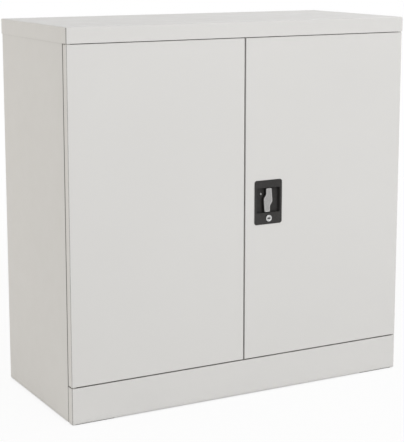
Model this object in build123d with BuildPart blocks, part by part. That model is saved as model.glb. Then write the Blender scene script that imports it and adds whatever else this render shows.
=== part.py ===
from build123d import *
import os
from math import cos, radians, sin

os.makedirs("parts", exist_ok=True)

# The cabinet stands on z = 0, centred on x = 0 and y = 0, with its doors towards -Y.

# Driving dimensions in millimetres
cabinet_width = 900.0
cabinet_depth = 400.0
cabinet_height = 900.0
cap_skirt = 36.0  # height of the lid's folded edge
plinth_height = 84.5
door_depth = 20.0

# Sheets and folds
panel_sheet = 0.8
frame_sheet = 1.2
plate = 2.0
bend = 1.6  # outer radius of a panel fold
edge_round = 1.2  # outer radius of a pan's edges

# Gaps
cap_overhang = 1.5
cap_gap = 1.6  # lid to doors
plinth_gap = 2.5  # doors to plinth
centre_gap = 3.0  # door to door
jamb_gap = 3.0  # back of the doors to the front of the carcass
seat_gap = 0.3  # pieces that rest on each other through paint
running_gap = 0.05  # radial, pins in their bushes
slip_gap = 0.2  # radial, screws and stems in their holes

# Feet: moulded bars under the plinth's ends and under the sides' rear corners
glide_lift = 2.0
glide_length = 100.0
glide_width = 15.0
glide_corner = 4.0
glide_edge = 0.6
glide_end_inset = 7.0
glide_side_inset = 15.0
glide_setback = 1.0
glide_stem_pitch = 60.0
glide_stem_radius = 4.0
glide_stem_length = 6.0
glide_barb = 0.5

# Side panels
jamb_width = 24.0
jamb_return = 10.0
rear_return = 16.0
foot_return = 30.0
top_clearance = 0.5

# Back panel and its screws
back_inset = 3.0
swage_height = 70.0
swage_side_margin = 90.0
swage_depth = 3.0
swage_corner = 20.0
swage_slope = 45.0  # degrees
swage_count = 3
wall_hole_radius = 4.5
wall_hole_spacing = 600.0
wall_hole_drop = 75.0  # below the top of the lid
screw_radius = 2.0
screw_head_radius = 4.0
screw_head_height = 1.4
screw_length = 5.0
screw_rows = 4
screw_end_margin = 60.0

# Floor tray, plinth and top rail
floor_rise = 20.0  # floor above the plinth's top
floor_front = 46.0
floor_hem = 9.0
floor_rear_flange = 22.0
plinth_side = 21.0
plinth_bottom_return = 18.0
rail_drop = 18.0  # rail face below the lid's skirt
rail_top_return = 40.0
rail_bottom_return = 18.0

# Slotted posts
post_width = 28.0
post_depth = 14.0
post_setback = 5.0  # rear posts, clear of the screws
post_head_room = 20.0
slot_width = 12.0
slot_height = 4.0
slot_pitch = 25.0
slot_end_margin = 22.0

# Shelves and their clips
shelf_thickness = 25.0
shelf_lip = 11.0
shelf_side_gap = 1.0
shelf_setback = 2.5
shelf_rear_gap = 4.0
lower_shelf_slot = 9
upper_shelf_slot = 19
clip_sheet = 1.5
clip_tab = 14.0
clip_leg = 12.0
clip_hook_drop = 5.0
clip_width = 11.0

# Door pans
door_lip = 12.0
hat_top = 34.0
hat_flange = 14.0
hat_clearance = 0.5
hat_end_gap = 1.0

# Pivots
pivot_inset = 6.0  # from the door's outer side and from its face
pin_radius = 3.0
pin_reach = 14.0
pin_tip = 0.8
pin_plate_size = 19.0
bush_wall = 1.3
bush_length = 10.0
bush_flange = 1.1
cap_bush_flange = 1.0

# Buffers and catch
buffer_radius = 4.5
buffer_stem_radius = 2.0
buffer_stem_length = 3.0
buffer_inset = 30.0
catch_width = 42.0
catch_height = 14.0
catch_length = 11.0
catch_from_centre = 60.0
strike_width = 30.0
strike_sheet = 1.2
strike_overlap = 9.0

# Handle plate
bezel_width = 76.0
bezel_height = 107.0
bezel_proud = 1.0
bezel_corner = 6.0
bezel_edge = 0.6
bezel_wall = 1.5
handle_from_centre = 65.0
handle_height = 469.5  # centre of the plate above the floor
pocket_width = 65.0
pocket_height = 61.0
pocket_rise = 4.5  # pocket's centre above the plate's centre
pocket_depth = 10.0
pocket_corner = 4.0
pocket_draft = 4.0  # degrees
snap_rib_length = 26.0
snap_rib_height = 1.4
snap_rib_depth = 5.0

# Lever
lever_length = 57.0
lobe_width = 15.0
lobe_shift = 2.1
lobe_flare = 2.5  # outer edges stand further out at the waist than at the ends
lever_waist_low = 3.8
lever_waist_high = 13.6
lever_thickness = 5.5
lever_recess = 0.3  # below the plate's face
lever_corner = 2.5
lever_edge = 1.0
boss_radius = 9.0
spindle_radius = 5.0

# Crank and locking bolts
crank_radius = 18.0
crank_flat = 13.5
crank_sheet = 2.0
crank_gap = 0.5
crank_pin_circle = 12.0
crank_pin_radius = 2.5
crank_turn = 90.0  # degrees, from drawn back to locked
bolt_width = 12.0
bolt_sheet = 3.0
bolt_gap = 0.6
bolt_head_width = 16.0
bolt_head_height = 14.0
bolt_slot_clearance = 0.6
bolt_tip_gap = 0.5
bolt_tip_chamfer = 2.0
bolt_hole_clearance = 1.1
guide_width = 20.0
guide_height = 16.0
guide_round = 1.5
guide_clearance = 0.25
guide_from_end = 60.0
guide_from_handle = 110.0

# Lock
lock_below_handle = 39.5
lock_offset = 2.0
lock_collar_radius = 8.0
lock_body_radius = 6.5
lock_boss_wall = 2.5
lock_bore_radius = 4.9
lock_body_gap = 1.0
plug_recess = 0.2
plug_tail_radius = 3.5
keyway_width = 2.2
keyway_length = 7.4
keyway_depth = 4.0
cam_width = 7.0
cam_gap = 0.8

# Faces that several pieces share
cap_bottom = cabinet_height - cap_skirt
cap_underside = cabinet_height - panel_sheet
plinth_bottom = glide_lift
plinth_top = plinth_bottom + plinth_height
door_bottom = plinth_top + plinth_gap
door_top = cap_bottom - cap_gap
door_height = door_top - door_bottom
door_middle = (door_top + door_bottom) / 2
side_x = cabinet_width / 2 - cap_overhang
front_y = -(cabinet_depth / 2 - cap_overhang)
back_y = cabinet_depth / 2 - cap_overhang
door_width = side_x - centre_gap / 2
door_centre_x = (side_x + centre_gap / 2) / 2
door_back_y = front_y + door_depth
jamb_y = door_back_y + jamb_gap
rear_y = back_y - panel_sheet  # outer face of the side panels' rear returns
inner_side_x = side_x - panel_sheet
floor_top = plinth_top + floor_rise
skin_inner_y = front_y + panel_sheet
lip_inner_y = door_back_y - panel_sheet
pivot_x = side_x - pivot_inset
pivot_y = front_y + pivot_inset
carcass_top = cap_underside - top_clearance
front_foot_x = side_x - glide_end_inset - glide_length / 2
front_foot_y = skin_inner_y + glide_setback + glide_width / 2
rear_foot_x = side_x - glide_side_inset
rear_foot_y = rear_y - glide_end_inset - glide_length / 2


def finish(piece, name):
    # Labels a finished piece and writes it
    piece.part.label = name
    export_step(piece.part, f"parts/{name}.step")


def facing(y):
    # A plane seen from the front at depth y: x to the right, z up, normal towards the viewer
    return Plane.XZ.offset(-y)


def folded_section(points, sheet, radius):
    # Section of a folded sheet: its outer line rounded at the folds, thickened to the left
    with BuildSketch() as section:
        with BuildLine():
            FilletPolyline(*points, radius=radius)
            offset(amount=sheet, side=Side.LEFT)
        make_face()
    return section.sketch


def lipped_pan(face, length, width, depth, sheet, lip):
    # A folded pan: a flat face, four returns, and lips turned in round its open side
    with BuildPart() as pan:
        with BuildSketch(face):
            Rectangle(length, width)
        extrude(amount=depth)
        fillet(pan.edges(), radius=edge_round)
        with BuildSketch(face.offset(sheet)):
            Rectangle(length - 2 * sheet, width - 2 * sheet)
        extrude(amount=depth - 2 * sheet, mode=Mode.SUBTRACT)
        with BuildSketch(face.offset(depth)):
            Rectangle(length - 2 * lip, width - 2 * lip)
        extrude(amount=-2 * sheet, mode=Mode.SUBTRACT)
    return pan.part


def mirrored(piece):
    # The same piece on the other side of the cabinet
    with BuildPart() as other:
        mirror(piece.part, about=Plane.YZ)
    return other


# Slotted posts' levels, used by the shelves too
slot_first = floor_top + slot_end_margin
post_top = carcass_top - post_head_room
slot_count = int((post_top - slot_end_margin - slot_first) / slot_pitch) + 1
post_web_x = inner_side_x - post_depth
front_post_y = jamb_y + jamb_return
rear_post_y = rear_y - panel_sheet - post_setback - post_width

# Handle, crank and bolt places
handle_x = handle_from_centre
lever_z = handle_height + pocket_rise
bezel_face_y = front_y - bezel_proud
pocket_floor_y = bezel_face_y + pocket_depth
tub_back_y = pocket_floor_y + bezel_wall
crank_front_y = tub_back_y + crank_gap
crank_back_y = crank_front_y + crank_sheet
bolt_front_y = crank_back_y + bolt_gap
bolt_back_y = bolt_front_y + bolt_sheet
bolt_middle_y = (bolt_front_y + bolt_back_y) / 2
half_turn = crank_turn / 2
pin_far_x = crank_pin_circle
pin_near_x = crank_pin_circle * cos(radians(half_turn))
pin_level = crank_pin_circle * sin(radians(half_turn))
bolt_stroke = 2 * pin_level
bolt_offset = (pin_far_x + pin_near_x) / 2
lock_x = handle_x + lock_offset
lock_z = handle_height - lock_below_handle
lock_boss_radius = lock_body_radius + lock_boss_wall
lock_back_y = tub_back_y - lock_body_gap / 2
print(f"lever {crank_turn} deg moves each bolt {bolt_stroke:.3f} mm")


# Lid: a tray turned over the carcass, with a return behind its front edge
cap_corner = 2.5
cap_edge = 2.0
cap_return = cap_overhang + door_depth  # reaches back as far as the doors
keeper_length = bolt_width + 2 * bolt_hole_clearance
keeper_width = bolt_sheet + 2 * bolt_hole_clearance
upper_bolt_x = handle_x + bolt_offset
lower_bolt_x = handle_x - bolt_offset
with BuildPart() as top_cap:
    with BuildSketch(Plane.XY.offset(cap_bottom)):
        RectangleRounded(cabinet_width, cabinet_depth, cap_corner)
    extrude(amount=cap_skirt)
    fillet(top_cap.faces().sort_by(Axis.Z)[-1].edges(), radius=cap_edge)
    offset(amount=-panel_sheet, openings=top_cap.faces().sort_by(Axis.Z)[0])
    with BuildSketch(Plane.XY.offset(cap_bottom)):
        with Locations((0, -cabinet_depth / 2 + panel_sheet)):
            Rectangle(cabinet_width - 2 * cap_corner, cap_return, align=(Align.CENTER, Align.MIN))
    extrude(amount=panel_sheet)
    with BuildSketch(Plane.XY.offset(cap_bottom)):
        with Locations((-pivot_x, pivot_y), (pivot_x, pivot_y)):
            Circle(pin_radius + slip_gap)
        with Locations((upper_bolt_x, bolt_middle_y)):
            Rectangle(keeper_length, keeper_width)
    extrude(amount=panel_sheet, mode=Mode.SUBTRACT)
finish(top_cap, "top_cap")


# Side panels: a skin with a boxed jamb in front, a return behind and one underneath
screw_x = side_x - rear_return / 2
screw_low = plinth_bottom + screw_end_margin
screw_high = cap_bottom - screw_end_margin
screw_pitch = (screw_high - screw_low) / (screw_rows - 1)
screw_middle = (screw_low + screw_high) / 2
with BuildPart() as left_side_panel:
    with BuildSketch(Plane.XY.offset(plinth_bottom)):
        add(
            folded_section(
                [
                    (-side_x + rear_return, rear_y),
                    (-side_x, rear_y),
                    (-side_x, jamb_y),
                    (-side_x + jamb_width, jamb_y),
                    (-side_x + jamb_width, jamb_y + jamb_return),
                ],
                panel_sheet,
                bend,
            )
        )
    extrude(amount=carcass_top - plinth_bottom)
    with BuildSketch(Plane.XY.offset(plinth_bottom)):
        with Locations((-inner_side_x, jamb_y + jamb_return)):
            Rectangle(foot_return, rear_y - bend - jamb_y - jamb_return, align=(Align.MIN, Align.MIN))
        with Locations((-rear_foot_x, rear_foot_y)):
            with GridLocations(glide_stem_pitch, glide_stem_pitch, 1, 2):
                Circle(glide_stem_radius + slip_gap, mode=Mode.SUBTRACT)
    extrude(amount=panel_sheet)
    with BuildSketch(facing(rear_y)):
        with Locations((-screw_x, screw_middle)):
            with GridLocations(screw_pitch, screw_pitch, 1, screw_rows):
                Circle(screw_radius + slip_gap)
    extrude(amount=panel_sheet, mode=Mode.SUBTRACT)
finish(left_side_panel, "left_side_panel")

right_side_panel = mirrored(left_side_panel)
finish(right_side_panel, "right_side_panel")


# Back panel: a flat sheet with pressed swages, wall holes and screw holes
back_width = 2 * (side_x - back_inset)
back_height = carcass_top - plinth_bottom
swage_width = back_width - 2 * swage_side_margin
swage_pitch = (screw_high - screw_low) / swage_count
wall_hole_z = cabinet_height - wall_hole_drop
with BuildPart() as back_panel:
    with BuildSketch(facing(back_y)):
        with Locations((0, plinth_bottom)):
            Rectangle(back_width, back_height, align=(Align.CENTER, Align.MIN))
    extrude(amount=panel_sheet)
    with BuildSketch(facing(rear_y)):
        with Locations((0, screw_middle)):
            with GridLocations(swage_pitch, swage_pitch, 1, swage_count):
                RectangleRounded(swage_width + panel_sheet, swage_height + panel_sheet, swage_corner)
    extrude(amount=swage_depth, taper=swage_slope)
    with BuildSketch(facing(back_y)):
        with Locations((0, screw_middle)):
            with GridLocations(swage_pitch, swage_pitch, 1, swage_count):
                RectangleRounded(swage_width, swage_height, swage_corner)
    extrude(amount=swage_depth, taper=swage_slope, mode=Mode.SUBTRACT)
    with BuildSketch(facing(back_y)):
        with Locations((0, wall_hole_z)):
            with GridLocations(wall_hole_spacing, wall_hole_spacing, 2, 1):
                Circle(wall_hole_radius)
        with Locations((-screw_x, screw_middle), (screw_x, screw_middle)):
            with GridLocations(screw_pitch, screw_pitch, 1, screw_rows):
                Circle(screw_radius + slip_gap)
    extrude(amount=panel_sheet, mode=Mode.SUBTRACT)
finish(back_panel, "back_panel")


# Back screws: dished heads outside, shanks through both sheets
with BuildPart() as back_screws:
    with BuildSketch(facing(back_y)):
        with Locations((-screw_x, screw_middle), (screw_x, screw_middle)):
            with GridLocations(screw_pitch, screw_pitch, 1, screw_rows):
                Circle(screw_radius)
    extrude(amount=screw_length)
    with BuildSketch(facing(back_y)):
        with Locations((-screw_x, screw_middle), (screw_x, screw_middle)):
            with GridLocations(screw_pitch, screw_pitch, 1, screw_rows):
                Circle(screw_head_radius)
    extrude(amount=-screw_head_height)
    head_rims = back_screws.faces().group_by(Axis.Y)[-1].edges()
    chamfer(head_rims, length=screw_head_height / 2)
finish(back_screws, "back_screws")


# Floor tray: folded down in front and behind, notched round the jambs
floor_rear_y = rear_y - panel_sheet - seat_gap
floor_half = inner_side_x - slip_gap
notch_width = inner_side_x - side_x + jamb_width + seat_gap
notch_depth = jamb_return + seat_gap
with BuildPart() as floor_tray:
    with BuildSketch(Plane.YZ.offset(-floor_half)):
        add(
            folded_section(
                [
                    (floor_rear_y, floor_top - floor_rear_flange),
                    (floor_rear_y, floor_top),
                    (jamb_y, floor_top),
                    (jamb_y, floor_top - floor_front),
                    (jamb_y + floor_hem, floor_top - floor_front),
                ],
                panel_sheet,
                bend,
            )
        )
    extrude(amount=2 * floor_half)
    with BuildSketch(Plane.XY.offset(floor_top)):
        with Locations((-inner_side_x, jamb_y)):
            Rectangle(notch_width, notch_depth, align=(Align.MIN, Align.MIN))
        with Locations((inner_side_x, jamb_y)):
            Rectangle(notch_width, notch_depth, align=(Align.MAX, Align.MIN))
    extrude(amount=-floor_front, mode=Mode.SUBTRACT)
finish(floor_tray, "floor_tray")


# Plinth: a folded kick plate with side, top and bottom returns
plinth_rear_y = jamb_y - seat_gap
with BuildPart() as plinth:
    with BuildSketch(Plane.XY.offset(plinth_bottom)):
        add(
            folded_section(
                [
                    (-side_x, front_y + plinth_side),
                    (-side_x, front_y),
                    (side_x, front_y),
                    (side_x, front_y + plinth_side),
                ],
                panel_sheet,
                bend,
            )
        )
    extrude(amount=plinth_height)
    with BuildSketch(Plane.XY.offset(plinth_top)):
        with Locations((0, skin_inner_y)):
            Rectangle(2 * inner_side_x, plinth_rear_y - skin_inner_y, align=(Align.CENTER, Align.MIN))
        with Locations((-pivot_x, pivot_y), (pivot_x, pivot_y)):
            Circle(pin_radius + slip_gap, mode=Mode.SUBTRACT)
        with Locations((lower_bolt_x, bolt_middle_y)):
            Rectangle(keeper_length, keeper_width, mode=Mode.SUBTRACT)
    extrude(amount=-panel_sheet)
    with BuildSketch(Plane.XY.offset(plinth_bottom)):
        with Locations((0, skin_inner_y)):
            Rectangle(2 * inner_side_x, plinth_bottom_return, align=(Align.CENTER, Align.MIN))
        with Locations((-front_foot_x, front_foot_y), (front_foot_x, front_foot_y)):
            with GridLocations(glide_stem_pitch, glide_stem_pitch, 2, 1):
                Circle(glide_stem_radius + slip_gap, mode=Mode.SUBTRACT)
    extrude(amount=panel_sheet)
finish(plinth, "plinth")


# Top rail: a channel behind the lid's front edge that carries the lid and stops the doors
rail_half = side_x - jamb_width - seat_gap
rail_bottom = cap_bottom - rail_drop
with BuildPart() as top_rail:
    with BuildSketch(Plane.YZ.offset(-rail_half)):
        add(
            folded_section(
                [
                    (jamb_y + rail_top_return, cap_underside),
                    (jamb_y, cap_underside),
                    (jamb_y, rail_bottom),
                    (jamb_y + rail_bottom_return, rail_bottom),
                ],
                frame_sheet,
                bend,
            )
        )
    extrude(amount=2 * rail_half)
finish(top_rail, "top_rail")


# Slotted posts, one in each corner
def slotted_post(front):
    # A channel standing on the floor against the left side, slotted for the shelf clips
    with BuildPart() as post:
        with BuildSketch(Plane.XY.offset(floor_top)):
            add(
                folded_section(
                    [
                        (-inner_side_x, front),
                        (-post_web_x, front),
                        (-post_web_x, front + post_width),
                        (-inner_side_x, front + post_width),
                    ],
                    frame_sheet,
                    bend,
                )
            )
        extrude(amount=post_top - floor_top)
        slot_middle = slot_first + slot_pitch * (slot_count - 1) / 2
        with BuildSketch(Plane.YZ.offset(-post_web_x)):
            with Locations((front + post_width / 2, slot_middle)):
                with GridLocations(slot_pitch, slot_pitch, 1, slot_count):
                    Rectangle(slot_width, slot_height)
        extrude(amount=-frame_sheet, mode=Mode.SUBTRACT)
    return post


left_front_post = slotted_post(front_post_y)
left_rear_post = slotted_post(rear_post_y)
finish(left_front_post, "left_front_post")
finish(left_rear_post, "left_rear_post")
right_front_post = mirrored(left_front_post)
right_rear_post = mirrored(left_rear_post)
finish(right_front_post, "right_front_post")
finish(right_rear_post, "right_rear_post")


# Shelves: lipped pans resting on four clips that hook into the posts
shelf_width = 2 * (post_web_x - shelf_side_gap)
shelf_front_y = front_post_y + shelf_setback
shelf_rear_y = rear_y - panel_sheet - swage_depth - shelf_rear_gap
shelf_middle_y = (shelf_front_y + shelf_rear_y) / 2
hook_reach = frame_sheet + slip_gap
for shelf_name, slot_number in (("lower_shelf", lower_shelf_slot), ("upper_shelf", upper_shelf_slot)):
    clip_seat = slot_first + slot_pitch * slot_number - slot_height / 2
    shelf_bottom = clip_seat + clip_sheet
    shelf_face = Plane(
        origin=(0, shelf_middle_y, shelf_bottom + shelf_thickness), x_dir=(1, 0, 0), z_dir=(0, 0, -1)
    )
    with BuildPart() as shelf:
        add(
            lipped_pan(
                shelf_face, shelf_width, shelf_rear_y - shelf_front_y, shelf_thickness, panel_sheet, shelf_lip
            )
        )
    finish(shelf, shelf_name)

    with BuildPart() as clips:
        for post_front in (front_post_y, rear_post_y):
            clip_plane = Plane.XZ.offset(-(post_front + (post_width + clip_width) / 2))
            with BuildSketch(clip_plane):
                with BuildLine():
                    Polyline(
                        (-post_web_x - hook_reach, clip_seat),
                        (-post_web_x - hook_reach, clip_seat - clip_hook_drop),
                        (-post_web_x - hook_reach - clip_sheet, clip_seat - clip_hook_drop),
                        (-post_web_x - hook_reach - clip_sheet, clip_seat + clip_sheet),
                        (-post_web_x + clip_tab, clip_seat + clip_sheet),
                        (-post_web_x + clip_tab, clip_seat),
                        (-post_web_x + clip_sheet, clip_seat),
                        (-post_web_x + clip_sheet, clip_seat - clip_leg),
                        (-post_web_x, clip_seat - clip_leg),
                        (-post_web_x, clip_seat),
                        close=True,
                    )
                make_face()
            extrude(amount=clip_width)
        mirror(about=Plane.YZ)
    finish(clips, f"{shelf_name}_clips")


# Hinge pins: a plate on the carcass and a pin into the door's bush, left and right
def hinge_pins(seat_z, tip_z, plate_side):
    # plate_side is +1 where the plate lies above its seat, -1 where it lies below
    with BuildPart() as pins:
        with BuildSketch(Plane.XY.offset(seat_z)):
            with Locations((-pivot_x, pivot_y), (pivot_x, pivot_y)):
                Circle(pin_radius)
        extrude(amount=tip_z - seat_z)
        tips = pins.faces().sort_by(Axis.Z)[:2] if plate_side > 0 else pins.faces().sort_by(Axis.Z)[-2:]
        chamfer(tips.edges(), length=pin_tip)
        with BuildSketch(Plane.XY.offset(seat_z)):
            with Locations((-side_x + bend, skin_inner_y + bend)):
                Rectangle(pin_plate_size, pin_plate_size - bend, align=(Align.MIN, Align.MIN))
            with Locations((side_x - bend, skin_inner_y + bend)):
                Rectangle(pin_plate_size, pin_plate_size - bend, align=(Align.MAX, Align.MIN))
        extrude(amount=plate_side * plate)
    return pins


upper_pin_tip = door_top - pin_reach
lower_pin_tip = door_bottom + pin_reach
upper_hinge_pins = hinge_pins(cap_bottom + panel_sheet, upper_pin_tip, 1)
lower_hinge_pins = hinge_pins(plinth_top - panel_sheet, lower_pin_tip, -1)
finish(upper_hinge_pins, "upper_hinge_pins")
finish(lower_hinge_pins, "lower_hinge_pins")


# Feet: bars whose two barbed stems push into the plinth's and the sides' bottom returns
def moulded_foot():
    barb_low = glide_lift + panel_sheet + slip_gap
    with BuildPart() as foot:
        with BuildSketch():
            RectangleRounded(glide_length, glide_width, glide_corner)
        extrude(amount=glide_lift)
        chamfer(foot.faces().sort_by(Axis.Z)[0].edges(), length=glide_edge)
        for stem_x in (-glide_stem_pitch / 2, glide_stem_pitch / 2):
            with BuildSketch(Plane(origin=(stem_x, 0, 0), x_dir=(1, 0, 0), z_dir=(0, -1, 0))):
                with BuildLine():
                    Polyline(
                        (0, glide_edge),
                        (glide_stem_radius, glide_edge),
                        (glide_stem_radius, barb_low),
                        (glide_stem_radius + glide_barb, barb_low + glide_barb),
                        (glide_stem_radius - glide_barb, glide_lift + glide_stem_length),
                        (0, glide_lift + glide_stem_length),
                        close=True,
                    )
                make_face()
            revolve(axis=Axis((stem_x, 0, 0), (0, 0, 1)))
    return foot.part


with BuildPart() as glides:
    with Locations((-front_foot_x, front_foot_y), (front_foot_x, front_foot_y)):
        add(moulded_foot())
    with Locations((-rear_foot_x, rear_foot_y), (rear_foot_x, rear_foot_y)):
        add(moulded_foot(), rotation=(0, 0, 90))
finish(glides, "glides")


# Magnetic catch under the top rail, for the door that has no lock
catch_front_y = door_back_y + strike_sheet + seat_gap
with BuildPart() as door_catch:
    with BuildSketch(Plane.XY.offset(rail_bottom)):
        with Locations((-catch_from_centre, catch_front_y)):
            Rectangle(catch_width, catch_length, align=(Align.CENTER, Align.MIN))
    extrude(amount=-catch_height)
    fillet(door_catch.edges().filter_by(Axis.Z), radius=edge_round)
finish(door_catch, "door_catch")


# Doors
def door_skin(centre_x):
    # The pan of one door, with its two bush holes
    face = Plane(origin=(centre_x, front_y, door_middle), x_dir=(1, 0, 0), z_dir=(0, 1, 0))
    outer_x = pivot_x if centre_x > 0 else -pivot_x
    with BuildPart() as skin:
        add(lipped_pan(face, door_width, door_height, door_depth, panel_sheet, door_lip))
        with BuildSketch(Plane.XY.offset(door_top)):
            with Locations((outer_x, pivot_y)):
                Circle(pin_radius + 2 * running_gap + bush_wall)
        extrude(amount=-panel_sheet, mode=Mode.SUBTRACT)
        with BuildSketch(Plane.XY.offset(door_bottom)):
            with Locations((outer_x, pivot_y)):
                Circle(pin_radius + 2 * running_gap + bush_wall)
        extrude(amount=panel_sheet, mode=Mode.SUBTRACT)
        with BuildSketch(facing(door_back_y)):
            for level in buffer_levels:
                with Locations(*[(place, level) for place in buffer_places(centre_x)]):
                    Circle(buffer_stem_radius + running_gap)
        extrude(amount=panel_sheet, mode=Mode.SUBTRACT)
    return skin


buffer_levels = (door_bottom + door_lip / 2, door_top - door_lip / 2)
buffer_reach = jamb_gap - seat_gap


def buffer_places(centre_x):
    # Two buffers along each lip: one near the closing edge, one near the hinge edge
    half = door_width / 2 - buffer_inset
    return (centre_x - half, centre_x + half)


def door_stiffener(centre_x):
    # Upright hat channel on the inside of a door's face
    crown_y = lip_inner_y - hat_clearance - panel_sheet
    with BuildPart() as stiffener:
        with BuildSketch(Plane.XY.offset(door_bottom + panel_sheet + hat_end_gap)):
            add(
                folded_section(
                    [
                        (centre_x - hat_top / 2 - hat_flange, skin_inner_y),
                        (centre_x - hat_top / 2, skin_inner_y),
                        (centre_x - hat_top / 2, crown_y),
                        (centre_x + hat_top / 2, crown_y),
                        (centre_x + hat_top / 2, skin_inner_y),
                        (centre_x + hat_top / 2 + hat_flange, skin_inner_y),
                    ],
                    panel_sheet,
                    bend,
                )
            )
        extrude(amount=door_height - 2 * panel_sheet - 2 * hat_end_gap)
    return stiffener


def door_bushes(outer_x):
    # Flanged nylon bushes in the door's top and bottom returns
    bore = pin_radius + running_gap
    with BuildPart() as bushes:
        for seat_z, flange, inward in ((door_top, cap_bush_flange, -1), (door_bottom, bush_flange, 1)):
            with BuildSketch(Plane.XY.offset(seat_z)):
                with Locations((outer_x, pivot_y)):
                    Circle(bore + bush_wall)
            extrude(amount=inward * (panel_sheet + bush_length))
            with BuildSketch(Plane.XY.offset(seat_z)):
                with Locations((outer_x, pivot_y)):
                    Circle(pivot_inset - seat_gap)
            extrude(amount=-inward * flange)
            with BuildSketch(Plane.XY.offset(seat_z - inward * flange)):
                with Locations((outer_x, pivot_y)):
                    Circle(bore)
            extrude(amount=inward * (flange + panel_sheet + bush_length), mode=Mode.SUBTRACT)
    return bushes


def door_buffers(centre_x):
    # Rubber buffers pushed through the lips, facing the rail and the floor tray's front
    with BuildPart() as buffers:
        for place in buffer_places(centre_x):
            for level in buffer_levels:
                with BuildSketch(facing(door_back_y)):
                    with Locations((place, level)):
                        Circle(buffer_radius)
                extrude(amount=-buffer_reach)
                with BuildSketch(facing(door_back_y)):
                    with Locations((place, level)):
                        Circle(buffer_stem_radius)
                extrude(amount=buffer_stem_length)
    return buffers


left_door_skin = door_skin(-door_centre_x)
finish(left_door_skin, "left_door_skin")
left_door_stiffener = door_stiffener(-door_centre_x)
finish(left_door_stiffener, "left_door_stiffener")
left_door_bushes = door_bushes(-pivot_x)
finish(left_door_bushes, "left_door_bushes")
left_door_buffers = door_buffers(-door_centre_x)
finish(left_door_buffers, "left_door_buffers")
right_door_stiffener = door_stiffener(door_centre_x)
finish(right_door_stiffener, "right_door_stiffener")
right_door_bushes = door_bushes(pivot_x)
finish(right_door_bushes, "right_door_bushes")
right_door_buffers = door_buffers(door_centre_x)
finish(right_door_buffers, "right_door_buffers")


# Strike plate on the left door's top lip, facing the magnet
strike_top = door_top - door_lip + strike_overlap
strike_bottom = rail_bottom - catch_height
with BuildPart() as catch_plate:
    with BuildSketch(facing(door_back_y)):
        with Locations((-catch_from_centre, strike_bottom)):
            Rectangle(strike_width, strike_top - strike_bottom, align=(Align.CENTER, Align.MIN))
    extrude(amount=-strike_sheet)
    fillet(catch_plate.edges().filter_by(Axis.Y), radius=edge_round)
finish(catch_plate, "catch_plate")


# Right door skin: cut out for the handle's tub and lock, slotted for the bolts
tub_width = pocket_width + 2 * bezel_wall
tub_height = pocket_height + 2 * bezel_wall
cutout_top = lever_z + tub_height / 2 + seat_gap
cutout_bottom = lock_z - lock_boss_radius - seat_gap
with BuildPart() as right_door_skin:
    add(door_skin(door_centre_x).part)
    with BuildSketch(facing(front_y)):
        with Locations((handle_x, cutout_bottom)):
            Rectangle(
                tub_width + 2 * seat_gap, cutout_top - cutout_bottom, align=(Align.CENTER, Align.MIN)
            )
    extrude(amount=-panel_sheet, mode=Mode.SUBTRACT)
    with BuildSketch(Plane.XY.offset(door_top)):
        with Locations((upper_bolt_x, bolt_middle_y)):
            Rectangle(keeper_length, keeper_width)
    extrude(amount=-panel_sheet, mode=Mode.SUBTRACT)
    with BuildSketch(Plane.XY.offset(door_bottom)):
        with Locations((lower_bolt_x, bolt_middle_y)):
            Rectangle(keeper_length, keeper_width)
    extrude(amount=panel_sheet, mode=Mode.SUBTRACT)
finish(right_door_skin, "right_door_skin")


# Handle plate: a moulded surround with a finger pocket, a boss for the lock and two snap ribs
with BuildPart() as handle_bezel:
    with BuildSketch(facing(front_y)):
        with Locations((handle_x, handle_height)):
            RectangleRounded(bezel_width, bezel_height, bezel_corner)
    extrude(amount=bezel_proud)
    fillet(handle_bezel.faces().sort_by(Axis.Y)[0].edges(), radius=bezel_edge)
    with BuildSketch(facing(front_y)):
        with Locations((handle_x, lever_z)):
            RectangleRounded(tub_width, tub_height, pocket_corner + bezel_wall)
        with Locations((lock_x, lock_z)):
            Circle(lock_boss_radius)
    extrude(amount=-(tub_back_y - front_y - lock_body_gap))
    with BuildSketch(facing(tub_back_y)):
        with Locations((handle_x, lever_z)):
            RectangleRounded(tub_width, tub_height, pocket_corner + bezel_wall)
    extrude(amount=lock_body_gap)
    with BuildSketch(facing(bezel_face_y)):
        with Locations((handle_x, lever_z)):
            RectangleRounded(pocket_width, pocket_height, pocket_corner)
    extrude(amount=-pocket_depth, taper=pocket_draft, mode=Mode.SUBTRACT)
    with BuildSketch(facing(tub_back_y)):
        with Locations((handle_x, lever_z)):
            Circle(spindle_radius + running_gap)
    extrude(amount=bezel_wall, mode=Mode.SUBTRACT)
    with BuildSketch(facing(bezel_face_y)):
        with Locations((lock_x, lock_z)):
            Circle(lock_body_radius)
    extrude(amount=-(tub_back_y - bezel_face_y), mode=Mode.SUBTRACT)
    for rib_side in (-1, 1):
        with BuildSketch(Plane(origin=(handle_x, 0, lever_z), x_dir=(1, 0, 0), z_dir=(0, 0, 1))):
            with BuildLine():
                Polyline(
                    (rib_side * tub_width / 2, skin_inner_y + seat_gap),
                    (rib_side * (tub_width / 2 + snap_rib_height), skin_inner_y + seat_gap),
                    (rib_side * tub_width / 2, skin_inner_y + snap_rib_depth),
                    (rib_side * (tub_width - bezel_wall) / 2, skin_inner_y + snap_rib_depth),
                    (rib_side * (tub_width - bezel_wall) / 2, skin_inner_y + seat_gap),
                    close=True,
                )
            make_face()
        extrude(amount=snap_rib_length / 2, both=True)
finish(handle_bezel, "handle_bezel")


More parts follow.
